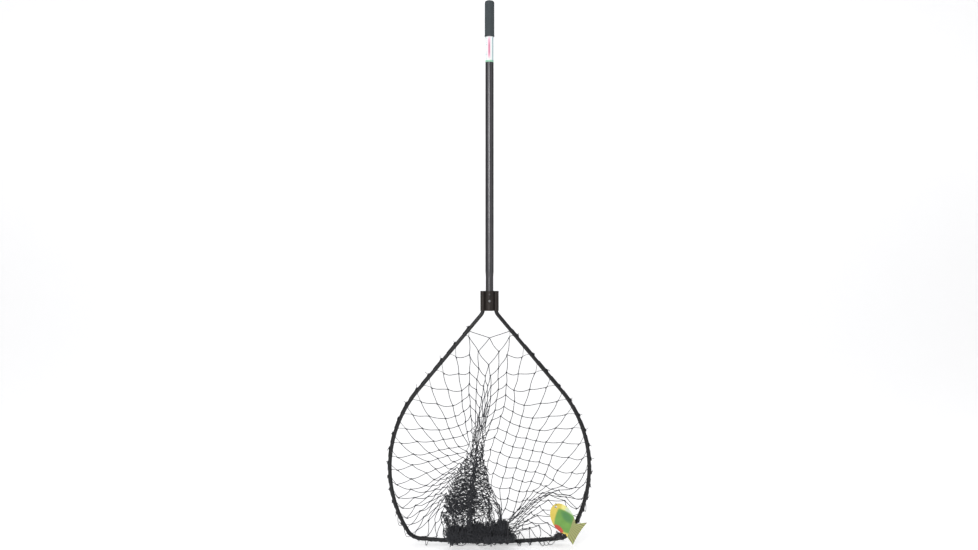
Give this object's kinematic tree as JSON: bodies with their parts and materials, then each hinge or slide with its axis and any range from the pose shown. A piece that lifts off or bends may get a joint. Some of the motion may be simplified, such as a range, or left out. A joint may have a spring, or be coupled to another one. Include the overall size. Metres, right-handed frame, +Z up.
{
  "type": "landing net",
  "caption": "Hand landing net: gripped tube handle, snap-button yoke, teardrop rod hoop and a knotted twine bag that falls to the front in a gathered cone.",
  "frame": {"origin": "middle of the hand grip, on the handle's axis", "axes": "+Z up the handle away from the hoop, the hoop lies in the XZ plane, -Y is the front that the bag falls to, +X to the right seen from the front"},
  "size_m": [0.5092, 0.0819, 1.352],
  "materials": {
    "grip": "matte, fine pebble",
    "label": "printed film, plain colour bands",
    "tube": "dark anodised, drawn satin",
    "yoke": "black-brown anodised extrusion",
    "button": "bright, domed",
    "spring": "rolled spring strip",
    "pin": "dull steel",
    "hoop": "black coated, satin",
    "netting": "knotted black nylon twine",
    "tie_twine": "tarred black nylon twine",
    "tag": "gloss printed card, plain colour shapes"
  },
  "bodies": {
    "frame": {"handle_tube": "tube", "handle_grip": "grip", "label_wrap": "label", "yoke": "yoke", "button_spring": "spring", "arm_pin_left": "pin", "arm_pin_right": "pin", "hoop": "hoop", "net_bag": "netting", "net_tail": "netting", "gather_cord": "tie_twine", "net_tie_01": "tie_twine", "net_tie_02": "tie_twine", "net_tie_03": "tie_twine", "net_tie_04": "tie_twine", "net_tie_05": "tie_twine", "net_tie_06": "tie_twine", "net_tie_07": "tie_twine", "net_tie_08": "tie_twine", "net_tie_09": "tie_twine", "net_tie_10": "tie_twine", "net_tie_11": "tie_twine", "net_tie_12": "tie_twine", "net_tie_13": "tie_twine", "net_tie_14": "tie_twine", "net_tie_15": "tie_twine", "net_tie_16": "tie_twine", "net_tie_17": "tie_twine", "net_tie_18": "tie_twine", "net_tie_19": "tie_twine", "net_tie_20": "tie_twine", "net_tie_21": "tie_twine", "net_tie_22": "tie_twine", "net_tie_23": "tie_twine", "net_tie_24": "tie_twine", "net_tie_25": "tie_twine", "net_tie_26": "tie_twine", "net_tie_27": "tie_twine", "net_tie_28": "tie_twine", "net_tie_29": "tie_twine", "net_tie_30": "tie_twine", "net_tie_31": "tie_twine", "net_tie_32": "tie_twine", "net_tie_33": "tie_twine", "net_tie_34": "tie_twine", "net_tie_35": "tie_twine", "net_tie_36": "tie_twine", "net_tie_37": "tie_twine", "net_tie_38": "tie_twine", "net_tie_39": "tie_twine", "net_tie_40": "tie_twine", "net_tie_41": "tie_twine", "net_tie_42": "tie_twine", "net_tie_43": "tie_twine", "net_tie_44": "tie_twine", "net_tie_45": "tie_twine"},
    "button": {"snap_button": "button"},
    "tag": {"swing_tag": "tag", "tag_string": "tie_twine"}
  },
  "joints": [
    {"name": "button_press", "type": "slide", "parent": "frame", "child": "button", "axis": [0, 1, 0], "range_m": [0, 0.0053], "stiffness_N_per_m": 1500, "springref_m": -0.003, "deforming": ["button_spring"]},
    {"name": "tag_swing", "type": "hinge", "parent": "frame", "child": "tag", "pos_m": [0.163, -0.0304, -1.19756], "axis": [-1, 0, 0], "range_deg": [0, 100]}
  ]
}
